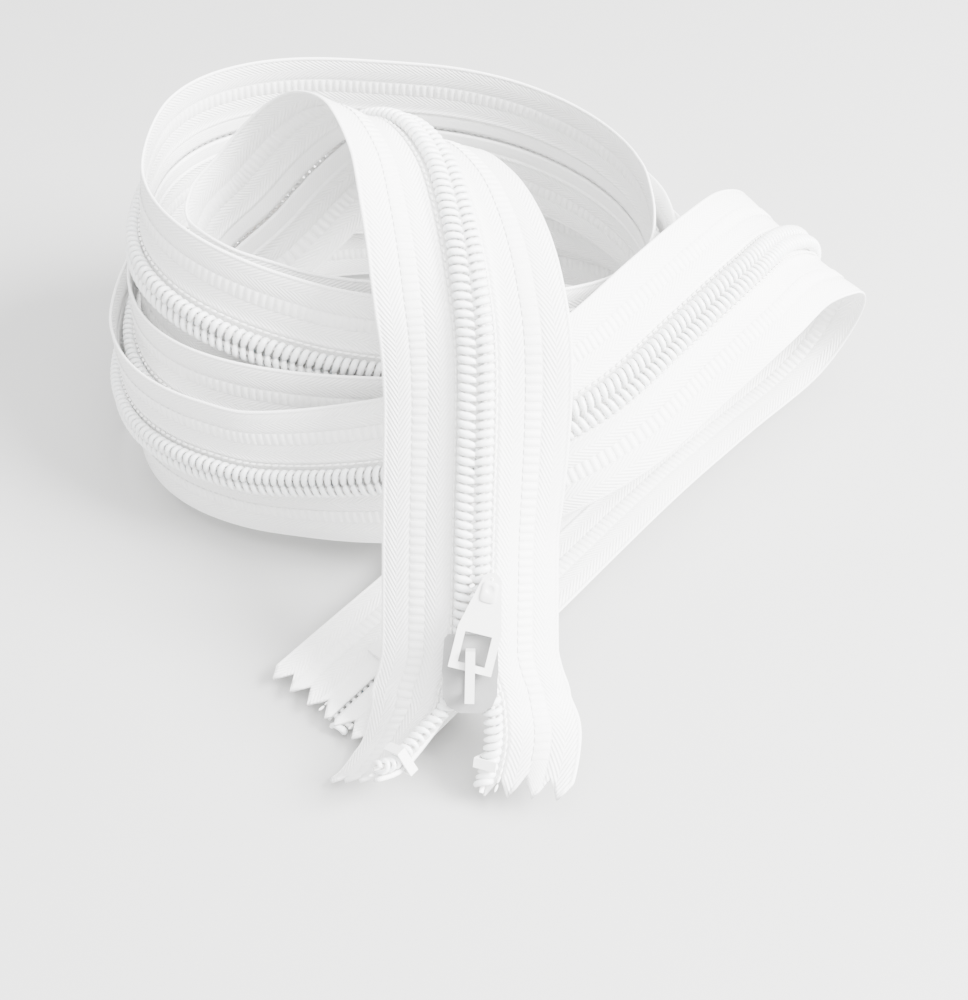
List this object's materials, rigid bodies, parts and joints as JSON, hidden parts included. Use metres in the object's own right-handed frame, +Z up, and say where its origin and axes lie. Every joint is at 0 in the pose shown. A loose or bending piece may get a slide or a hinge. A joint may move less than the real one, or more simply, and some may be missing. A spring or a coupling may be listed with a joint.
{
  "type": "coil zipper",
  "caption": "Long closed-end nylon coil zipper wound by hand into a loose standing bundle, with a locking slider, pull tab, end stops and pinked tape ends.",
  "frame": {"origin": "on the table, under the middle of the bundle's bounding box", "axes": "+Z up; -Y towards the viewer, the way the slider end comes down to the table; +X towards the fold at the right"},
  "size_m": [0.126, 0.1222, 0.0633],
  "materials": {
    "tape": "woven polyester tape, matt white",
    "coil": "satin white nylon filament",
    "cord": "spun white polyester cord",
    "sewing_thread": "twisted white sewing thread",
    "stop_paint": "white enamel on thin sheet metal",
    "slider_paint": "semi-gloss white enamel on a zinc casting",
    "tab_paint": "semi-gloss white enamel on a zinc casting",
    "lock_steel": "plain spring steel"
  },
  "bodies": {
    "strip": {"left_tape": "tape", "right_tape": "tape", "left_coil": "coil", "right_coil": "coil", "left_core_cord": "cord", "right_core_cord": "cord", "left_stitching": "sewing_thread", "right_stitching": "sewing_thread", "left_top_stop": "stop_paint", "right_top_stop": "stop_paint", "bottom_stop": "stop_paint"},
    "slider": {"slider_body": "slider_paint", "slider_bail": "slider_paint"},
    "lock": {"lock_spring": "lock_steel"},
    "tab": {"pull_tab": "tab_paint"}
  },
  "joints": [
    {"name": "slider_travel", "type": "slide", "parent": "strip", "child": "slider", "axis": [0.02, 0.6819, 0.7312], "range_m": [0, 0.022], "deforming": ["left_coil", "right_coil", "left_core_cord", "right_core_cord", "left_stitching", "right_stitching"]},
    {"name": "pull_swing", "type": "hinge", "parent": "slider", "child": "tab", "pos_m": [-0.00343, -0.04913, 0.01847], "axis": [0.9697, -0.1667, -0.1787], "range_deg": [0, 165]},
    {"name": "lock_lift", "type": "slide", "parent": "slider", "child": "lock", "axis": [0, -0.7314, 0.682], "range_m": [0, 0.00025], "stiffness_N_per_m": 200}
  ]
}
